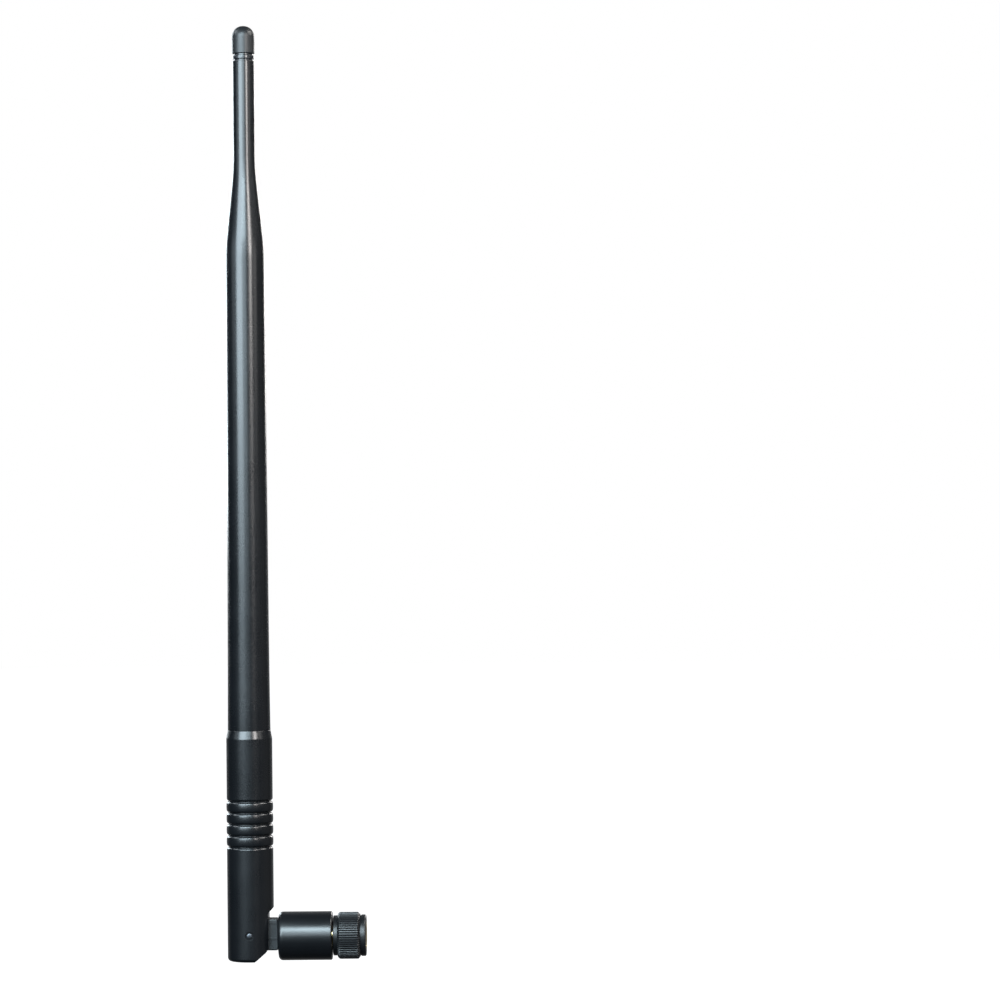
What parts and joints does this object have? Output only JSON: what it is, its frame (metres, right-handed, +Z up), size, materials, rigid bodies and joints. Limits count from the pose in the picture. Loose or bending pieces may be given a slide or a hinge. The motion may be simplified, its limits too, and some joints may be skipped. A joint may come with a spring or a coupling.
{
  "type": "omnidirectional antenna",
  "caption": "Tapered omnidirectional whip antenna on a tilting and swivelling base, with a threaded coaxial coupling nut.",
  "frame": {"origin": "on the connector's axis, in the plane of the coupling nut's front face, at the mouth of its thread", "axes": "+X out of the coupling nut's mouth, +Z up the mast as it stands at a right angle to the connector, +Y to the left when looking along +X"},
  "size_m": [0.0389, 0.0136, 0.2616],
  "materials": {
    "gold_brass": "bright gold-plated, turned",
    "black_grip_plastic": "satin black moulded plastic with straight ribs",
    "gold_plate": "bright gold plate",
    "white_ptfe": "matte white",
    "gold_contact": "bright gold plate",
    "red_silicone": "matte red-brown",
    "spring_steel": "plain steel",
    "nickel_brass": "nickel plated",
    "black_cable": "smooth black jacket",
    "black_base_plastic": "satin to gloss black moulded plastic",
    "black_knuckle_plastic": "fine-grained black moulded plastic",
    "black_rubber": "matte black",
    "steel_pin": "bright turned ends",
    "nylon_washer": "smooth dark nylon",
    "black_radome_plastic": "satin black moulded plastic",
    "grey_seal": "smooth dark grey",
    "black_shrink": "shrunk sleeve",
    "copper_wire": "enamelled copper",
    "white_foam": "closed-cell foam"
  },
  "bodies": {
    "connector": {"connector_body": "gold_plate", "dielectric": "white_ptfe", "centre_contact": "gold_contact", "interface_gasket": "red_silicone", "nut_snap_ring": "spring_steel", "crimp_ferrule": "nickel_brass", "coax_lead": "black_cable", "swivel_housing": "black_base_plastic"},
    "nut": {"coupling_nut": "gold_brass", "nut_collar": "black_grip_plastic"},
    "knuckle": {"knuckle": "black_knuckle_plastic", "knuckle_clip": "spring_steel", "swivel_o_ring": "black_rubber", "coax_bend": "black_cable"},
    "mast": {"base_barrel": "black_base_plastic", "hinge_pins": "steel_pin", "hinge_washers": "nylon_washer", "cable_bush": "black_rubber", "radome": "black_radome_plastic", "tip_seal": "grey_seal", "tip_cap": "black_radome_plastic", "coax_riser": "black_cable", "choke_sleeve": "nickel_brass", "choke_bead": "white_ptfe", "feed_shrink": "black_shrink", "feed_bead": "white_ptfe", "lower_radiator": "copper_wire", "middle_radiator": "copper_wire", "upper_radiator": "copper_wire", "lower_phasing_coil": "copper_wire", "upper_phasing_coil": "copper_wire", "foam_spacers": "white_foam"}
  },
  "joints": [
    {"name": "nut_spin", "type": "hinge", "parent": "connector", "child": "nut", "pos_m": [-0.004, 0, 0], "axis": [1, 0, 0], "continuous": true},
    {"name": "base_swivel", "type": "hinge", "parent": "connector", "child": "knuckle", "pos_m": [-0.02, 0, 0], "axis": [1, 0, 0], "range_deg": [-165, 165]},
    {"name": "mast_tilt", "type": "hinge", "parent": "knuckle", "child": "mast", "pos_m": [-0.03235, 0, 0.0006], "axis": [0, -1, 0], "range_deg": [0, 90], "deforming": ["coax_bend"]}
  ]
}
